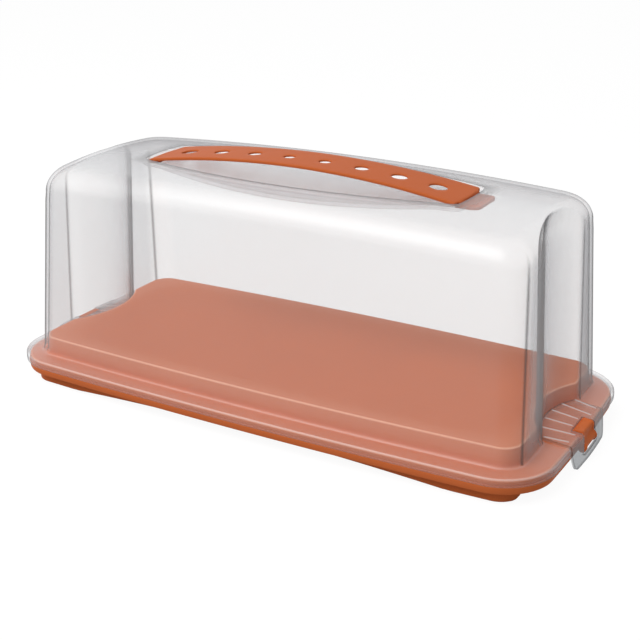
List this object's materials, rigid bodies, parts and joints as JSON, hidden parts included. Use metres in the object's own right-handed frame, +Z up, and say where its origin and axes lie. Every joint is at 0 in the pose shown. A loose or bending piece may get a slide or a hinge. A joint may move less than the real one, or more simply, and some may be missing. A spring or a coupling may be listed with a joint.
{
  "type": "loaf cake carrier",
  "caption": "Long loaf cake carrier: raised serving tray, clear lift-off hood held by a sprung clip at each end, and a perforated carrying strap over a finger well in the roof.",
  "frame": {"origin": "centre of the carrier's footprint, on the surface it stands on", "axes": "+X along the carrier's length towards the end with the snap tongue, +Y across it, +Z up"},
  "size_m": [0.3614, 0.1652, 0.1466],
  "materials": {
    "tray_plastic": "satin",
    "clear_plastic": "gloss",
    "strap_plastic": "satin",
    "clip_plastic": "gloss"
  },
  "bodies": {
    "tray": {"tray": "tray_plastic"},
    "hood": {"hood": "clear_plastic", "strap": "strap_plastic"},
    "clip_right": {"clip_right": "clip_plastic"},
    "clip_left": {"clip_left": "clip_plastic"}
  },
  "joints": [
    {"name": "hood_lift", "type": "slide", "parent": "tray", "child": "hood", "axis": [0, 0, 1], "range_m": [0, 0.16]},
    {"name": "clip_right_hinge", "type": "hinge", "parent": "hood", "child": "clip_right", "pos_m": [0.1533, 0, 0.0196], "axis": [0, -1, 0], "range_deg": [0, 18], "stiffness_Nm_per_rad": 0.05},
    {"name": "clip_left_hinge", "type": "hinge", "parent": "hood", "child": "clip_left", "pos_m": [-0.1533, 0, 0.0196], "axis": [0, 1, 0], "range_deg": [0, 18], "stiffness_Nm_per_rad": 0.05}
  ]
}
